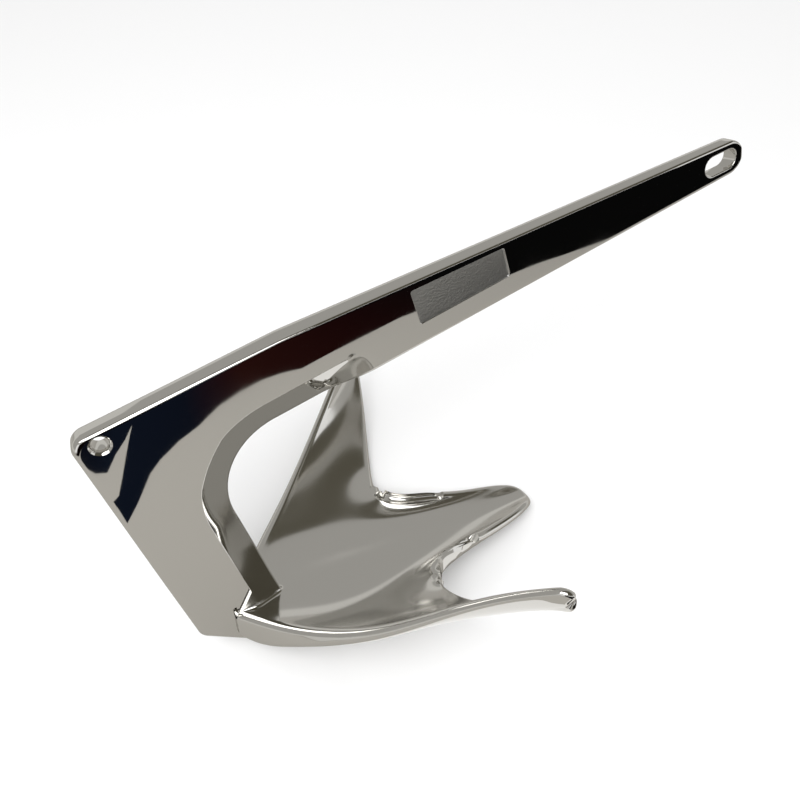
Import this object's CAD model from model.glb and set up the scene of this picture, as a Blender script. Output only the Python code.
"""Looks of the claw anchor: one cast, mirror-polished piece, in metres, in the frame of the CAD."""

import math

import bmesh
import bpy
import numpy as np
from mathutils import Matrix, Vector, noise
from mathutils.bvhtree import BVHTree


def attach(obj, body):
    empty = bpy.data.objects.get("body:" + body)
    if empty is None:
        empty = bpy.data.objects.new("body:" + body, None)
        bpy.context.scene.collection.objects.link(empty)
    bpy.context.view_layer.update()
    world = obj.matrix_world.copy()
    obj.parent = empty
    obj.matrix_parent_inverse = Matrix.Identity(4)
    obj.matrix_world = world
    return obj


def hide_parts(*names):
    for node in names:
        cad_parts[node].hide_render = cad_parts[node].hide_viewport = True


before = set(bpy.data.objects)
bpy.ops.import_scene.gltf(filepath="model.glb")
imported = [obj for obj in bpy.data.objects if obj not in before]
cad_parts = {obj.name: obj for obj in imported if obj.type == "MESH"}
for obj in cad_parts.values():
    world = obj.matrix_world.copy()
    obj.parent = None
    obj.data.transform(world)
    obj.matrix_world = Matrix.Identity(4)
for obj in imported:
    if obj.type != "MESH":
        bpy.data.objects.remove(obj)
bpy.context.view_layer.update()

# Sizes of the anchor, mm and degrees
HEEL_RUN, HEEL_PITCH, ARM_RUN, ARM_PITCH = 118, 17.4, 315, 14.2
HEAD_DEPTH, ARM_TAPER = 21.6, 4.5
LEG_RUN, LEG_LEAN, LEG_DEPTH, BEND_R = 162, 15.4, 54, 46
SHANK_T, HEAD_T, HEEL_R, CROWN_HEEL_R = 14.4, 10.4, 8, 9
CROWN_RUN, CROWN_FALL = 43, 31
EDGE_R, HEEL_EDGE_R = 1.6, 4
BEVEL_W, NOSE_W, BEVEL_FULL, BEVEL_RUN = 15.5, 2.4, 30, 34
SLOT_L, SLOT_W, SLOT_WALL = 24.6, 12.4, 5.6
TRIP_D, TRIP_DOWN, TRIP_IN, RIM_C = 9, 7.9, 14, 0.9
POCKET_L, POCKET_H, POCKET_HEAD_H, POCKET_D = 61, 22, 18.6, 1
POCKET_ON, POCKET_UP, POCKET_R = 128, 12.6, 1.6
CLAW_SPAN, HORN_REACH, HORN_RISE = 297, 207.5, 82.9
FLUKE_REACH, FLUKE_RISE, DISH_DROP = 287, 12.6, 143
NOTCH_REACH, NOTCH_OUT, NOTCH_RISE = 187, 52, 14.5
CLAW_T, FLUKE_T, HORN_T, RIM_R = 7.6, 5, 4.7, 4.6
HORN_DIP, DISH_DIP = 3, 4.9
ROOT_T, ROOT_R, CROWN_T, CROWN_R = 6, 68, 14, 30
TIP_ROUND, NOTCH_SHARE = 0.9, 0.25
LEG_SINK, CROWN_CREEP, CROWN_AHEAD, KEEL_RISE, KEEL_R = 7, 1.2, 12, 28, 22
RIM_ROOT = (21, 0.4, 4)
HORN_REAR, HORN_FRONT, FLUKE_SIDE = (-4.5, -6, 1), (3, -6, -8), (-9.7, 12.9, 2.1)
POINT_HANDLES = ((0, 0.4, 0), (0.4, -0.25, -0.03))
SIDE_HANDLES = ((-0.206, 0.132, 0.001), (-0.045, -0.306, -0.092))
FRONT_HANDLES = ((0.097, 0.32, 0), (-0.037, -0.28, -0.18))
TIP_HANDLES = ((0.45, 0.5, 0.12), (0.1, 0.5, 0.3))
REAR_HANDLES = ((0.324, 0.394, 0.051), (-0.245, -0.27, -0.18))

# the pose in which the CAD lies, from its upright drawing to the ground
GROUND = np.array([[0.980437, 0.0156655, 0.19621], [-0.0729516, 0.954757, 0.288302],
                   [-0.182816, -0.296976, 0.937221]])
GROUND_SHIFT = np.array([216.444, -31.7072, -181.321])

# the camera, in the upright drawing, mm, and its focal length in pixels of an 800 pixel frame
CAMERA_AT = (31.4, -326.2, 193.0)
CAMERA_RIGHT, CAMERA_AHEAD = (0.9065, -0.422, 0.0), (0.362, 0.777, -0.515)
FOCAL = 690

# Fineness
HEAD_STEPS, ARM_STEPS, LINE_STEPS, HEEL_STEPS, LEG_STEPS, CROWN_STEPS = 26, 90, 12, 30, 34, 10
POINT_STEPS, SIDE_STEPS, HORN_STEPS, RUNG_STEPS, TIP_STEPS = 20, 44, 60, 40, 14
FOOT_R = 3
RELAX = 700
# passes that smooth the hollows, and a rim's radius over the metal's thickness
HOLLOW_PASSES = 160
RIM_SHARE = 0.48


def deg(a):
    return math.radians(a)


def vec(*v):
    return np.array(v, float)


def unit(v):
    return v / np.linalg.norm(v)


def lerp(a, b, t):
    return a + (b - a) * t


def clamp01(t):
    return min(1.0, max(0.0, t))


def smooth(t):
    c = clamp01(t)
    return c * c * (3 - 2 * c)


def turn(a):
    return vec(math.cos(deg(a)), math.sin(deg(a)))


def left(v):
    return vec(-v[1], v[0])


def cross2(a, b):
    return a[0] * b[1] - a[1] * b[0]


def meet(p, u, q, v):
    return p + u * cross2(q - p, v) / cross2(u, v)


def side_view(p, y):
    return vec(p[0], y, p[1])


def bezier(p, t):
    return (1 - t) ** 3 * p[0] + 3 * (1 - t) ** 2 * t * p[1] + 3 * (1 - t) * t * t * p[2] + t ** 3 * p[3]


def pull_back(u, v, r):
    return r * math.tan(math.acos(float(u @ v)) / 2)


def corner(c, u, v, r, steps):
    side = 1 if cross2(u, v) > 0 else -1
    middle = c - u * pull_back(u, v, r) + side * r * left(u)
    first = math.degrees(math.atan2(-side * u[0], side * u[1]))
    sweep = side * math.degrees(math.acos(float(u @ v)))
    return [middle + r * turn(first + sweep * i / steps) for i in range(steps + 1)]


# Side view of the shank
back_dir, arm_dir, under_dir = turn(HEEL_PITCH), turn(ARM_PITCH), turn(ARM_PITCH + ARM_TAPER)
rear_dir, front_dir = turn(LEG_LEAN - 90), turn(LEG_LEAN - 89)
crown_dir, keel_dir = turn(-CROWN_FALL), turn(KEEL_RISE)
back_bend = HEEL_RUN * back_dir
head_r = HEAD_DEPTH / 2
head_mid = back_bend + (ARM_RUN - head_r) * arm_dir - head_r * left(arm_dir)
under_end = head_mid - head_r * left(under_dir)
front_half = LEG_RUN / 2 * rear_dir + LEG_DEPTH * left(rear_dir)
inner_corner = meet(under_end, under_dir, front_half, front_dir)
bend_back = pull_back(-under_dir, front_dir, BEND_R)
arm_foot = inner_corner + bend_back * under_dir
bend_mid = arm_foot - BEND_R * left(under_dir)
leg_head = inner_corner + bend_back * front_dir
leg_foot = meet(leg_head, front_dir, vec(0, -DISH_DROP - LEG_SINK), vec(1, 0))
crown_heel = LEG_RUN * rear_dir
crown_low = crown_heel + CROWN_RUN * crown_dir


def back_above(p):
    q = meet(p, left(under_dir), back_bend, arm_dir)
    return q if q[0] > back_bend[0] else meet(p, left(under_dir), vec(0, 0), back_dir)


def shank_stations():
    out = []
    for i in range(HEAD_STEPS):
        a = deg(86 * (1 - i / HEAD_STEPS))
        out.append((head_mid + head_r * (math.cos(a) * left(arm_dir) + math.sin(a) * arm_dir),
                    head_mid + head_r * (math.sin(a) * under_dir - math.cos(a) * left(under_dir)),
                    -left(under_dir)))
    for i in range(ARM_STEPS):
        p = lerp(under_end, arm_foot, i / ARM_STEPS)
        out.append((back_above(p), p, -left(under_dir)))
    heel_arc = corner(vec(0, 0), -back_dir, rear_dir, HEEL_R, HEEL_STEPS)
    rear_head = meet(leg_head, left(front_dir), vec(0, 0), rear_dir)
    outer = [lerp(back_above(arm_foot), heel_arc[0], i / LINE_STEPS) for i in range(LINE_STEPS)]
    outer += heel_arc
    outer += [lerp(heel_arc[-1], rear_head, i / LINE_STEPS) for i in range(1, LINE_STEPS + 1)]
    inner = corner(inner_corner, -under_dir, front_dir, BEND_R, len(outer) - 1)
    out += [(a, b, unit(bend_mid - b)) for a, b in zip(outer, inner)]
    crown_arc = corner(crown_heel, rear_dir, crown_dir, CROWN_HEEL_R, CROWN_STEPS)
    for i in range(1, LEG_STEPS + 1):
        out.append((lerp(rear_head, crown_arc[0], i / LEG_STEPS), lerp(leg_head, leg_foot, i / LEG_STEPS),
                    left(front_dir)))
    crown_outer = crown_arc[1:] + corner(crown_low, crown_dir, keel_dir, KEEL_R, CROWN_STEPS)
    for i, c in enumerate(crown_outer):
        p = leg_foot + vec(CROWN_CREEP * (i + 1) * 4 / CROWN_STEPS, 0)
        out.append((c, p, unit(p - c)))
    return out


def half_t(p):
    full = lerp(SHANK_T, HEAD_T, clamp01((p[0] - HEEL_RUN) / (head_mid[0] - HEEL_RUN))) / 2
    to_end = head_r - (p - head_mid) @ arm_dir
    if to_end < EDGE_R:
        return full - EDGE_R + math.sqrt(max(EDGE_R ** 2 - (EDGE_R - to_end) ** 2, 0))
    return full


def bevel_at(p):
    if p[1] < leg_head[1]:
        return 1.0
    return smooth(1 - ((p[0] - arm_foot[0]) / under_dir[0] - BEVEL_FULL) / BEVEL_RUN)


def shank_section(s):
    outer, inner, out_dir = s
    deep = np.linalg.norm(inner - outer)
    e = (inner - outer) / deep
    h = half_t((outer + inner) / 2)
    r = lerp(HEEL_EDGE_R, EDGE_R, smooth(np.linalg.norm(outer) / HEEL_RUN))
    w = min(BEVEL_W / max(e @ out_dir, 0.5), deep - r - 1)
    cut = bevel_at(inner)
    half = [(0, (h - r) * k / 2) for k in (0, 1)]
    half += [(r * (1 - math.cos(deg(a))), h - r * (1 - math.sin(deg(a)))) for a in range(0, 91, 9)]
    flat_end = deep - w
    flat_from, flat_to, bevel_from = r + 0.4, flat_end - 0.35, flat_end + 0.35
    half += [(lerp(flat_from, flat_to, k / 13), h) for k in range(14)]
    soft = 0.9
    stations = [flat_end, bevel_from]
    stations += [lerp(bevel_from, deep - 2 * EDGE_R, k / 8) for k in range(1, 9)]
    stations += [deep - EDGE_R * (2 - 2 * math.sin(deg(k))) for k in range(10, 91, 10)]
    for x in stations:
        back = max(deep - x, 0)
        plain = h if back > EDGE_R else h - EDGE_R + math.sqrt(max(EDGE_R ** 2 - (EDGE_R - back) ** 2, 0))
        bevel = lerp(NOSE_W / 2, h, back / w)
        if back < soft:
            bevel -= soft - math.sqrt(soft ** 2 - (soft - back) ** 2)
        half.append((x, lerp(plain, bevel, cut)))
    half.append((deep, half[-1][1] / 2))
    ring = [(x, y) for x, y in half] + [(deep, 0)] + [(x, -y) for x, y in reversed(half)][:-1]
    return [side_view(outer + x * e, y) for x, y in ring]


# Claw
def swing(a, b, leave, arrive):
    n = np.linalg.norm(b - a)
    return [a, a + n * vec(*leave), b + n * vec(*arrive), b]


rim_root = vec(crown_heel[0] + RIM_ROOT[0], SHANK_T / 2 - RIM_ROOT[1], -DISH_DROP - RIM_ROOT[2])
horn_tip = vec(HORN_REACH, CLAW_SPAN / 2, HORN_RISE - DISH_DROP)
horn_rear, horn_front = horn_tip + vec(*HORN_REAR), horn_tip + vec(*HORN_FRONT)
notch = vec(NOTCH_REACH, NOTCH_OUT, NOTCH_RISE - DISH_DROP)
fluke_tip = vec(FLUKE_REACH, 0, FLUKE_RISE - DISH_DROP)
fluke_side = fluke_tip + vec(*FLUKE_SIDE)
point_rim = swing(fluke_tip, fluke_side, *POINT_HANDLES)
side_rim = swing(fluke_side, notch, *SIDE_HANDLES)
front_rim = swing(notch, horn_front, *FRONT_HANDLES)
tip_rim = swing(horn_rear, horn_front, *TIP_HANDLES)
rear_rim = swing(rim_root, horn_rear, *REAR_HANDLES)
crown_mid = vec(crown_low[0] + CROWN_AHEAD, 0)


def both_sides(half):
    return [p * vec(1, -1, 1) for p in half[:0:-1]] + half


def claw_rings():
    tips = [0.46 * (k + 1) / TIP_STEPS for k in range(TIP_STEPS)]
    fluke_rungs = POINT_STEPS + SIDE_STEPS
    front = [bezier(point_rim, i / POINT_STEPS) for i in range(POINT_STEPS + 1)]
    front += [bezier(side_rim, i / SIDE_STEPS) for i in range(1, SIDE_STEPS + 1)]
    front += [bezier(front_rim, i / HORN_STEPS) for i in range(1, HORN_STEPS + 1)]
    front += [bezier(tip_rim, 1 - t) for t in tips]
    rear = [vec(rim_root[0], 0, rim_root[2])]
    rear += [bezier(rear_rim, NOTCH_SHARE * (i / fluke_rungs) ** 1.2) for i in range(1, fluke_rungs + 1)]
    rear += [bezier(rear_rim, lerp(NOTCH_SHARE, 1, i / HORN_STEPS)) for i in range(1, HORN_STEPS + 1)]
    rear += [bezier(tip_rim, t) for t in tips]
    rears, fronts = both_sides(rear), both_sides(front)
    rungs = len(rears)

    def from_crown(p):
        return np.linalg.norm(p[:2] - crown_mid)

    def thick(p, i):
        y = abs(p[1])
        along = clamp01((p[0] - NOTCH_REACH) / (FLUKE_REACH - NOTCH_REACH))
        outward = clamp01((y - NOTCH_OUT) / (CLAW_SPAN / 2 - NOTCH_OUT))
        plate = CLAW_T + (FLUKE_T - CLAW_T) * along * (1 - smooth(y / NOTCH_OUT))
        plate += (HORN_T - CLAW_T) * outward
        return min(plate + ROOT_T * math.exp(-(from_crown(p) / ROOT_R) ** 2),
                   TIP_ROUND * np.linalg.norm(fronts[i] - rears[i]))

    def rim_round(p, i):
        return min(RIM_R, RIM_SHARE * thick(p, i))

    def rim_out(ends, i, side):
        d = ends[min(i + 1, rungs - 1)] - ends[max(i - 1, 0)]
        return side * unit(vec(d[1], -d[0], 0))

    # the dish is stretched smoothly between its rims, so that the notches leave no crease, and then hollowed
    top = np.zeros((rungs, RUNG_STEPS + 1, 3))
    hollows = np.zeros((rungs, RUNG_STEPS + 1))
    for i in range(rungs):
        a = rears[i] - rim_round(rears[i], i) * rim_out(rears, i, -1)
        b = fronts[i] - rim_round(fronts[i], i) * rim_out(fronts, i, 1)
        y = abs(fronts[i][1])
        peak = lerp(2, 0.75, clamp01(y / NOTCH_OUT))
        hollow = HORN_DIP * (1 - smooth((y - NOTCH_OUT) / (CLAW_SPAN / 2 - NOTCH_OUT)))
        dish = DISH_DIP * math.sin(math.pi * clamp01(y / NOTCH_OUT))
        for j in range(RUNG_STEPS + 1):
            t = j / RUNG_STEPS
            top[i, j] = lerp(a, b, t)
            hollows[i, j] = hollow * math.sin(math.pi * t ** peak) + dish * 6.75 * t * (1 - t) ** 2
    for _ in range(RELAX):
        top[1:-1, 1:-1] = (top[:-2, 1:-1] + top[2:, 1:-1] + top[1:-1, :-2] + top[1:-1, 2:]) / 4
    for _ in range(HOLLOW_PASSES):
        hollows[1:-1] = (hollows[:-2] + 2 * hollows[1:-1] + hollows[2:]) / 4
    top[:, :, 2] -= hollows

    ups = np.zeros_like(top)
    for i in range(rungs):
        for j in range(RUNG_STEPS + 1):
            m = min(max(i, TIP_STEPS + 1), rungs - 2 - TIP_STEPS)
            along = top[m + 1, j] - top[m - 1, j]
            across = top[m, min(j + 1, RUNG_STEPS)] - top[m, max(j - 1, 0)]
            ups[i, j] = unit(np.cross(across, along))

    def under(i, j):
        p = top[i, j]
        return p - thick(p, i) * ups[i, j] - vec(0, 0, CROWN_T * math.exp(-(from_crown(p) / CROWN_R) ** 2))

    def rim_arc(i, j, ends, side, angles):
        level = rim_out(ends, i, side)
        up = ups[i, j]
        out = unit(level - (level @ up) * up)
        r = rim_round(ends[i], i)
        return [(top[i, j] - r * up if a < 90 else under(i, j) + r * up)
                + r * (math.cos(deg(a)) * up + math.sin(deg(a)) * out) for a in angles]

    angles = [12, 24, 36, 48, 60, 72, 82, 89, 91, 98, 108, 120, 132, 144, 156, 168]
    rings = []
    for i in range(rungs):
        below = [under(i, j) for j in range(RUNG_STEPS, -1, -1)]
        rings.append(list(top[i]) + rim_arc(i, RUNG_STEPS, fronts, 1, angles) + below
                     + rim_arc(i, 0, rears, -1, angles[::-1]))
    return rings


# Meshes
def laid(points):
    """From the upright drawing in mm to the ground frame in metres."""
    return ((GROUND @ np.asarray(points, float).T).T - GROUND_SHIFT) / 1000


def new_object(name, bm):
    mesh = bpy.data.meshes.new(name)
    bm.to_mesh(mesh)
    bm.free()
    obj = bpy.data.objects.new(name, mesh)
    bpy.context.scene.collection.objects.link(obj)
    return obj


def loft(name, rings, slot=0):
    bm = bmesh.new()
    rows = [[bm.verts.new(Vector(p)) for p in ring] for ring in rings]
    n = len(rows[0])
    for a, b in zip(rows, rows[1:]):
        for j in range(n):
            k = (j + 1) % n
            bm.faces.new((a[j], b[j], b[k], a[k]))
    bm.faces.new(rows[0])
    bm.faces.new(rows[-1][::-1])
    for f in bm.faces:
        f.material_index = slot
        f.smooth = True
    bmesh.ops.remove_doubles(bm, verts=bm.verts, dist=1e-3)
    bmesh.ops.recalc_face_normals(bm, faces=bm.faces)
    if bm.calc_volume(signed=True) < 0:
        bmesh.ops.reverse_faces(bm, faces=bm.faces)
    return new_object(name, bm)


def boolean(target, cutter, how):
    mod = target.modifiers.new(how, "BOOLEAN")
    mod.operation, mod.solver, mod.object = how, "MANIFOLD", cutter
    bpy.context.view_layer.update()
    shape = bpy.data.meshes.new_from_object(target.evaluated_get(bpy.context.evaluated_depsgraph_get()))
    target.modifiers.clear()
    old, target.data = target.data, shape
    bpy.data.meshes.remove(old)
    bpy.data.objects.remove(cutter)


def ripple(p, amount, scale):
    """A polished casting isn't quite flat."""
    return amount * noise.noise(Vector(p) / scale)


shank = loft("anchor_shank", [shank_section(s) for s in shank_stations()], 0)
for v in shank.data.vertices:
    side = 1 if v.co.y > 0 else -1
    v.co.y += side * (ripple(v.co, 0.07, 62) + ripple(v.co + Vector((9, 7, 5)), 0.012, 26))
claw = loft("anchor_claw", claw_rings(), 1)

# shackle slot, trip hole and pocket
axis_dir = turn(ARM_PITCH + ARM_TAPER / 2)
slot_end = head_mid + (head_r - SLOT_WALL - SLOT_W / 2) * axis_dir
slot_start = slot_end - (SLOT_L - SLOT_W) * axis_dir
trip_mid = meet(-TRIP_DOWN * left(back_dir), back_dir, TRIP_IN * left(rear_dir), rear_dir)


def slot_cutter():
    half = HEAD_T / 2
    soft = 0.7
    rows = []
    marks = [(-half - 3, soft + 3)]
    marks += [(-half + soft * (1 - math.cos(deg(a))), soft * (1 - math.sin(deg(a))))
              for a in range(0, 91, 15)]
    marks = marks + [(-y, grow) for y, grow in reversed(marks)]
    for y, grow in marks:
        ring = []
        for mid, first in ((slot_end, -90), (slot_start, 90)):
            for k in range(0, 25):
                a = turn(first + k * 7.5)
                out = a[0] * axis_dir + a[1] * left(axis_dir)
                ring.append(side_view(mid + (SLOT_W / 2 + grow) * out, y))
        rows.append(ring)
    return loft("slot_cutter", rows)


def trip_cutter():
    half = SHANK_T / 2
    marks = [(-half - 3, RIM_C * 1.5 + 3), (-half, RIM_C * 1.5), (-half + 0.2, RIM_C * 1.15),
             (-half + 0.7, RIM_C * 0.55), (-half + 1.15, RIM_C * 0.12), (-half + 1.5, 0)]
    marks = marks + [(-y, grow) for y, grow in reversed(marks)]
    rows = [[side_view(trip_mid + (TRIP_D / 2 + grow) * turn(a * 5), y) for a in range(72)]
            for y, grow in marks]
    return loft("trip_cutter", rows)


pocket_mid = arm_foot + POCKET_ON * under_dir + (POCKET_UP + POCKET_H / 2) * left(under_dir)


def pocket_cutter():
    corners = [vec(-POCKET_L / 2, -POCKET_H / 2), vec(POCKET_L / 2, -POCKET_H / 2),
               vec(POCKET_L / 2, POCKET_HEAD_H - POCKET_H / 2), vec(-POCKET_L / 2, POCKET_H / 2)]
    rows = []
    marks = [(-POCKET_D, -0.9), (-POCKET_D + 0.06, -0.5), (-POCKET_D + 0.25, -0.2),
             (-POCKET_D + 0.5, 0), (-0.3, 0.05), (-0.1, 0.18), (0.06, 0.5), (2, 2.4)]
    for out, grow in marks:
        ring = []
        for i in range(4):
            c, before, after = corners[i], corners[i - 1], corners[(i + 1) % 4]
            ring += corner(c, unit(c - before), unit(after - c), POCKET_R, 8)
        middle = sum(ring) / len(ring)
        ring = [p + unit(p - middle) * grow for p in ring]
        rows.append([pocket_mid + p[0] * under_dir + p[1] * left(under_dir) for p in ring])
        rows[-1] = [side_view(p, -half_t(p) - out) for p in rows[-1]]
    return loft("pocket_cutter", rows)


boolean(shank, slot_cutter(), "DIFFERENCE")
boolean(shank, trip_cutter(), "DIFFERENCE")
boolean(shank, pocket_cutter(), "DIFFERENCE")
shank_tree = BVHTree.FromObject(shank, bpy.context.evaluated_depsgraph_get())
claw_tree = BVHTree.FromObject(claw, bpy.context.evaluated_depsgraph_get())
boolean(shank, claw, "UNION")
anchor = shank
anchor.name = "anchor_body"


def seam_chains(mesh):
    """Runs of points where the shank meets the claw."""
    bm = bmesh.new()
    bm.from_mesh(mesh)
    seam = [e for e in bm.edges if len(e.link_faces) == 2
            and e.link_faces[0].material_index != e.link_faces[1].material_index]
    links = {}
    for e in seam:
        for v in e.verts:
            links.setdefault(v.index, []).append(e.other_vert(v).index)
    places = {v.index: v.co.copy() for v in bm.verts}
    bm.free()
    chains, seen = [], set()
    for start in sorted(links):
        if start in seen:
            continue
        chain, at, prev = [start], start, None
        seen.add(start)
        while True:
            ahead = [k for k in links[at] if k != prev and k not in seen]
            if not ahead:
                break
            prev, at = at, ahead[0]
            seen.add(at)
            chain.append(at)
        chains.append([places[k] for k in chain])
    return chains


def even(points, step):
    """The closed run of points again, at even steps."""
    pts = [np.array(p) for p in points] + [np.array(points[0])]
    lengths = np.cumsum([0] + [np.linalg.norm(b - a) for a, b in zip(pts, pts[1:])])
    count = max(8, int(lengths[-1] / step))
    at = np.linspace(0, lengths[-1], count, endpoint=False)
    arr = np.array(pts)
    return np.stack([np.interp(at, lengths, arr[:, k]) for k in range(3)], axis=1)


def fillet(points):
    """A hollow round of metal where the leg stands in the dish, run out towards the leg's rear."""
    n1s = np.array([shank_tree.find_nearest(Vector(p))[1] for p in points])
    n2s = np.array([claw_tree.find_nearest(Vector(p))[1] for p in points])
    fits = (n2s[:, 2] > 0.6) & (np.abs((n1s * n2s).sum(axis=1)) < 0.7)
    if not fits.any():
        return None
    count = len(points)
    start = next((i for i in range(count) if fits[i] and not fits[i - 1]), 0)
    runs, now = [], []
    for k in range(count):
        i = (start + k) % count
        if fits[i]:
            now.append(i)
        elif now:
            runs.append(now)
            now = []
    if now:
        runs.append(now)
    run = max(runs, key=len)
    points, n1s, n2s = points[run], n1s[run], n2s[run]
    for _ in range(8):
        for ns in (n1s, n2s):
            ns[1:-1] = ns[:-2] + 2 * ns[1:-1] + ns[2:]
            ns /= np.linalg.norm(ns, axis=1)[:, None]
    step = np.linalg.norm(points[1] - points[0])
    bm = bmesh.new()
    rows = []
    for i, (p, n1, n2) in enumerate(zip(points, n1s, n2s)):
        r = 0.3 + (FOOT_R - 0.3) * smooth(min(i, len(points) - 1 - i) * step / 14)
        c = p + (n1 + n2) * r / (1 + n1 @ n2)
        whole = math.acos(max(-1, min(1, float(n1 @ n2))))
        arc = []
        for k in range(11):
            t = k / 10
            d = -(math.sin((1 - t) * whole) * n1 + math.sin(t * whole) * n2) / math.sin(whole)
            arc.append(c + r * d)
        arc[0] = arc[0] - 0.03 * n1
        arc[-1] = arc[-1] - 0.03 * n2
        rows.append([bm.verts.new(Vector(q)) for q in arc + [p - (n1 + n2) * 0.4]])
    n = len(rows[0])
    for a, b in zip(rows, rows[1:]):
        for j in range(n):
            k = (j + 1) % n
            bm.faces.new((a[j], b[j], b[k], a[k])).smooth = j < n - 2
    bm.faces.new(rows[0])
    bm.faces.new(rows[-1][::-1])
    bmesh.ops.recalc_face_normals(bm, faces=bm.faces)
    return new_object("anchor_fillet", bm)


for chain in seam_chains(anchor.data):
    made = fillet(even(chain, 1)) if len(chain) > 20 else None
    if made:
        bm = bmesh.new()
        bm.from_mesh(anchor.data)
        bm.from_mesh(made.data)
        bm.to_mesh(anchor.data)
        bm.free()
        bpy.data.objects.remove(made)

# the dish is polished less brightly than the shank; edges sharper than a polished round stay crisp
bm = bmesh.new()
bm.from_mesh(anchor.data)
bm.normal_update()
satin = bm.verts.layers.float.new("satin")
cast = bm.verts.layers.float.new("cast")
for v in bm.verts:
    flat = vec(v.co.x, v.co.z)
    reach = flat - pocket_mid
    inside = abs(reach @ under_dir) < POCKET_L / 2 and abs(reach @ left(under_dir)) < POCKET_H / 2
    v[cast] = 1.0 if inside and -half_t(flat) + 0.45 * POCKET_D < v.co.y < 0 else 0.0
    v[satin] = 1.0 if v.normal.z > 0.45 and all(f.material_index == 1 for f in v.link_faces) else 0.0
for f in bm.faces:
    f.smooth = True
    f.material_index = 0
for e in bm.edges:
    if len(e.link_faces) == 2 and e.calc_face_angle(0) > deg(24):
        e.smooth = False
points = np.array([v.co[:] for v in bm.verts])
for v, p in zip(bm.verts, laid(points)):
    v.co = Vector(p)
bm.to_mesh(anchor.data)
bm.free()


# Materials
def tree_of(name):
    mat = bpy.data.materials.new(name)
    mat.use_nodes = True
    t = mat.node_tree
    for n in list(t.nodes):
        t.nodes.remove(n)
    return mat, t


def polished_steel():
    mat, t = tree_of("polished_steel")
    add, link = t.nodes.new, t.links.new
    out = add("ShaderNodeOutputMaterial")
    skin = add("ShaderNodeBsdfPrincipled")
    link(skin.outputs[0], out.inputs["Surface"])
    skin.inputs["Metallic"].default_value = 1
    place = add("ShaderNodeTexCoord")
    haze = add("ShaderNodeTexNoise")
    haze.inputs["Scale"].default_value = 22
    haze.inputs["Detail"].default_value = 6
    link(place.outputs["Object"], haze.inputs["Vector"])
    rough = add("ShaderNodeMapRange")
    rough.inputs["From Min"].default_value, rough.inputs["From Max"].default_value = 0.35, 0.75
    rough.inputs["To Min"].default_value, rough.inputs["To Max"].default_value = 0.012, 0.045
    link(haze.outputs[0], rough.inputs["Value"])
    dish = add("ShaderNodeAttribute")
    dish.attribute_name = "satin"
    more = add("ShaderNodeMath")
    more.operation = "MULTIPLY_ADD"
    more.inputs[1].default_value = 0.12
    link(dish.outputs["Fac"], more.inputs[0])
    link(rough.outputs[0], more.inputs[2])
    # the pocket's floor keeps the grain of the casting
    pocket = add("ShaderNodeAttribute")
    pocket.attribute_name = "cast"
    coarse = add("ShaderNodeMath")
    coarse.operation = "MULTIPLY_ADD"
    coarse.inputs[1].default_value = 0.34
    link(pocket.outputs["Fac"], coarse.inputs[0])
    link(more.outputs[0], coarse.inputs[2])
    link(coarse.outputs[0], skin.inputs["Roughness"])
    tone = add("ShaderNodeMix")
    tone.data_type = "RGBA"
    tone.inputs["A"].default_value = (0.69, 0.68, 0.655, 1)
    tone.inputs["B"].default_value = (0.42, 0.42, 0.41, 1)
    link(pocket.outputs["Fac"], tone.inputs["Factor"])
    link(tone.outputs["Result"], skin.inputs["Base Color"])
    grain = add("ShaderNodeTexNoise")
    grain.inputs["Scale"].default_value = 900
    grain.inputs["Detail"].default_value = 4
    link(place.outputs["Object"], grain.inputs["Vector"])
    bump = add("ShaderNodeBump")
    bump.inputs["Distance"].default_value = 0.0003
    link(grain.outputs[0], bump.inputs["Height"])
    link(pocket.outputs["Fac"], bump.inputs["Strength"])
    link(bump.outputs[0], skin.inputs["Normal"])
    return mat


def plain(name, colour, roughness=0.9):
    mat, t = tree_of(name)
    out = t.nodes.new("ShaderNodeOutputMaterial")
    skin = t.nodes.new("ShaderNodeBsdfPrincipled")
    skin.inputs["Base Color"].default_value = (*colour, 1)
    skin.inputs["Roughness"].default_value = roughness
    t.links.new(skin.outputs[0], out.inputs["Surface"])
    return mat


def glow(name, colour):
    mat, t = tree_of(name)
    out = t.nodes.new("ShaderNodeOutputMaterial")
    skin = t.nodes.new("ShaderNodeEmission")
    skin.inputs["Color"].default_value = (*colour, 1)
    t.links.new(skin.outputs[0], out.inputs["Surface"])
    return mat


steel = polished_steel()
anchor.data.materials.clear()
anchor.data.materials.append(steel)
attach(anchor, "root")
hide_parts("anchor")


# Studio
def panel(name, corners, material, seen_by_camera=False):
    bm = bmesh.new()
    bm.faces.new([bm.verts.new(Vector(c)) for c in corners])
    obj = new_object(name, bm)
    obj.data.materials.append(material)
    obj.visible_camera = seen_by_camera
    if not seen_by_camera:
        obj.visible_diffuse = obj.visible_shadow = obj.visible_transmission = False
    return obj


def floor_paper():
    """Pale paper. The room looks greyer from low down, where the metal sees it."""
    mat = plain("floor_paper", (0.9, 0.9, 0.9))
    t = mat.node_tree
    skin = next(n for n in t.nodes if n.type == "BSDF_PRINCIPLED")
    path = t.nodes.new("ShaderNodeLightPath")
    mix = t.nodes.new("ShaderNodeMix")
    mix.data_type = "RGBA"
    mix.inputs["A"].default_value = (0.9, 0.9, 0.9, 1)
    mix.inputs["B"].default_value = (0.40, 0.385, 0.355, 1)
    t.links.new(path.outputs["Is Glossy Ray"], mix.inputs["Factor"])
    t.links.new(mix.outputs["Result"], skin.inputs["Base Color"])
    return mat


floor = panel("floor", [(-20, -20, 0), (20, -20, 0), (20, 20, 0), (-20, 20, 0)], floor_paper(), True)

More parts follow.
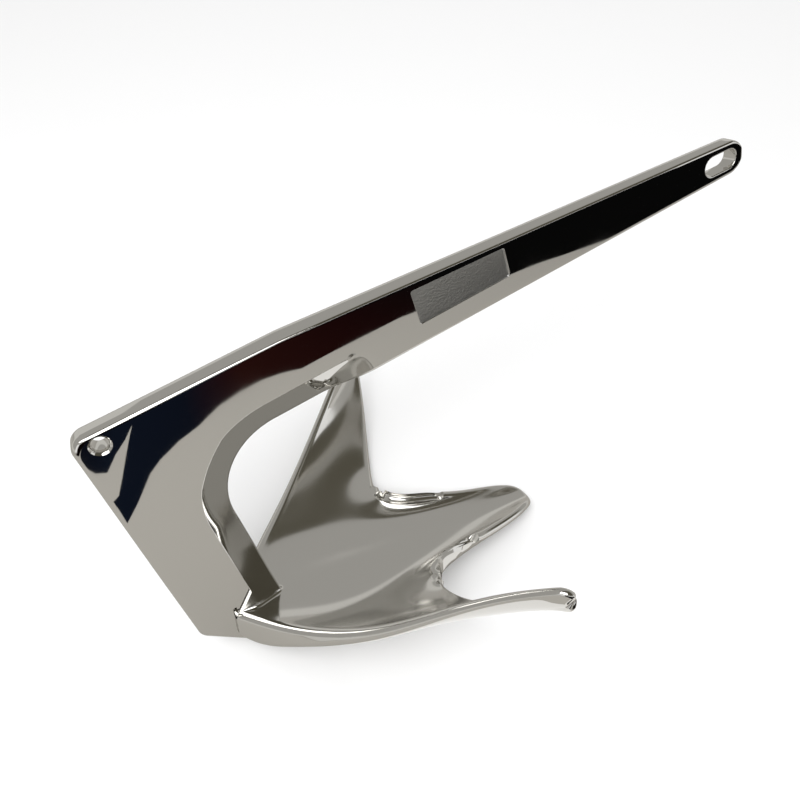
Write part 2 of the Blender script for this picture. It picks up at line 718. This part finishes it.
world = bpy.data.worlds.new("studio")
bpy.context.scene.world = world
world.use_nodes = True
wt = world.node_tree
for n in list(wt.nodes):
    wt.nodes.remove(n)
w_out = wt.nodes.new("ShaderNodeOutputWorld")
w_mix = wt.nodes.new("ShaderNodeMixShader")
w_light = wt.nodes.new("ShaderNodeBackground")
w_seen = wt.nodes.new("ShaderNodeBackground")
w_light.inputs["Color"].default_value = (1, 1, 1, 1)
w_light.inputs["Strength"].default_value = 0.92
w_seen.inputs["Color"].default_value = (1, 1, 1, 1)
w_seen.inputs["Strength"].default_value = 1
path = wt.nodes.new("ShaderNodeLightPath")
either = wt.nodes.new("ShaderNodeMath")
either.operation = "MAXIMUM"
third = wt.nodes.new("ShaderNodeMath")
third.operation = "MAXIMUM"
wt.links.new(path.outputs["Is Camera Ray"], either.inputs[0])
wt.links.new(path.outputs["Is Glossy Ray"], either.inputs[1])
wt.links.new(either.outputs[0], third.inputs[0])
wt.links.new(path.outputs["Is Transmission Ray"], third.inputs[1])
wt.links.new(third.outputs[0], w_mix.inputs[0])
wt.links.new(w_light.outputs[0], w_mix.inputs[1])
wt.links.new(w_seen.outputs[0], w_mix.inputs[2])
wt.links.new(w_mix.outputs[0], w_out.inputs["Surface"])

def dark_room():
    """Almost black, a little blue at the left and a little red at the right."""
    mat, t = tree_of("dark_room")
    add, link = t.nodes.new, t.links.new
    place = add("ShaderNodeTexCoord")
    parts = add("ShaderNodeSeparateXYZ")
    link(place.outputs["Object"], parts.inputs[0])
    ramp = add("ShaderNodeValToRGB")
    tones = [(0.30, (0.004, 0.002, 0.002)), (0.345, (0.006, 0.009, 0.018)), (0.39, (0.005, 0.007, 0.014)),
             (0.43, (0.022, 0.006, 0.005)), (0.52, (0.012, 0.003, 0.003)), (0.62, (0.003, 0.003, 0.003))]
    for k, (at, tone) in enumerate(tones):
        stop = ramp.color_ramp.elements[k] if k < 2 else ramp.color_ramp.elements.new(at)
        stop.position, stop.color = at, (*tone, 1)
    span = add("ShaderNodeMapRange")
    span.inputs["From Min"].default_value, span.inputs["From Max"].default_value = -1.2, 1.4
    link(parts.outputs["X"], span.inputs["Value"])
    link(span.outputs[0], ramp.inputs["Fac"])
    glowing = add("ShaderNodeEmission")
    out = add("ShaderNodeOutputMaterial")
    link(ramp.outputs["Color"], glowing.inputs["Color"])
    link(glowing.outputs[0], out.inputs["Surface"])
    return mat


# the edge of the pale paper towards the camera, beyond which the metal shows the dark room
PAPER_EDGE = [(-1.6, -0.95), (-0.6, -0.86), (-0.372, -0.779), (-0.354, -0.685),
              (-0.338, -0.617), (-0.322, -0.574), (-0.305, -0.556), (-0.297, -0.633),
              (-0.285, -0.694), (-0.276, -0.775), (-0.279, -0.683),
              (-0.281, -0.611), (-0.283, -0.505), (-0.285, -0.445), (-0.291, -0.432), (-0.282, -0.393),
              (-0.272, -0.345), (-0.262, -0.392), (-0.248, -0.480), (-0.234, -0.524), (-0.205, -0.579),
              (-0.174, -0.614), (-0.137, -0.681), (-0.101, -0.713), (-0.065, -0.727), (-0.031, -0.722),
              (0.010, -0.706), (0.112, -0.746), (0.229, -0.800), (0.335, -0.803), (0.437, -0.790),
              (0.600, -0.780), (1.500, -0.700)]
ROOM_CORNERS = [(2.4, -2.6), (-2.4, -2.6)]
room = dark_room()
panel("dark_floor", [(x, y, 0.0008) for x, y in PAPER_EDGE + ROOM_CORNERS], room)
panel("dark_wall", [(-2.4, -2.6, 0), (2.4, -2.6, 0), (2.4, -2.6, 1.5), (-2.4, -2.6, 1.5)], room)

# pale walls behind and beside, a grey ceiling, all seen only in the metal
backdrop = glow("backdrop", (0.66, 0.65, 0.62))
tent = glow("tent", (0.42, 0.412, 0.39))
wall = [(-2.4, -1.2), (-2.0, 0.6), (-1.2, 1.6), (0, 2.0), (1.2, 1.6), (2.0, 0.6), (2.4, -1.2)]
for k, (p0, p1) in enumerate(zip(wall, wall[1:])):
    panel(f"wall_low_{k}", [(*p0, 0), (*p1, 0), (*p1, 0.5), (*p0, 0.5)], backdrop)
    panel(f"wall_high_{k}", [(*p0, 0.5), (*p1, 0.5), (*p1, 1.8), (*p0, 1.8)], tent)
panel("ceiling", [(-2.6, -2.6, 1.8), (2.6, -2.6, 1.8), (2.6, 2.6, 1.8), (-2.6, 2.6, 1.8)], tent)
panel("shade", [(-0.7, -1.6, 1.5), (2.2, -1.6, 1.5), (2.2, 0.55, 1.5), (-0.7, 0.55, 1.5)],
      glow("shade", (0.1, 0.092, 0.07)))
panel("paper_glow",
      [(-0.14, -0.22, 0.0006), (0.06, -0.3, 0.0006), (0.12, -0.1, 0.0006), (-0.13, -0.05, 0.0006)],
      glow("paper_glow", (1.0, 0.99, 0.97)))

key = bpy.data.lights.new("key", "AREA")
key.energy, key.size = 9, 0.9
key_obj = bpy.data.objects.new("key", key)
key_obj.location = (-0.5, -0.4, 1.2)
key_obj.rotation_euler = (Vector((0, 0, 0.05)) - key_obj.location).to_track_quat("-Z", "Y").to_euler()
bpy.context.scene.collection.objects.link(key_obj)

# Camera, at the photo's viewing angle
cam_data = bpy.data.cameras.new("camera")
cam_data.sensor_width = 36
cam_data.lens = FOCAL / 800 * 36
cam_data.clip_start = 0.01
camera = bpy.data.objects.new("camera", cam_data)
right = unit(GROUND @ vec(*CAMERA_RIGHT))
ahead = unit(GROUND @ vec(*CAMERA_AHEAD))
right = unit(right - (right @ ahead) * ahead)
up = np.cross(right, ahead)
place = Matrix([[right[0], up[0], -ahead[0], 0], [right[1], up[1], -ahead[1], 0],
                [right[2], up[2], -ahead[2], 0], [0, 0, 0, 1]])
place.translation = Vector(laid([CAMERA_AT])[0])
camera.matrix_world = place
bpy.context.scene.collection.objects.link(camera)
bpy.context.scene.camera = camera
bpy.context.scene.view_settings.view_transform = "Standard"
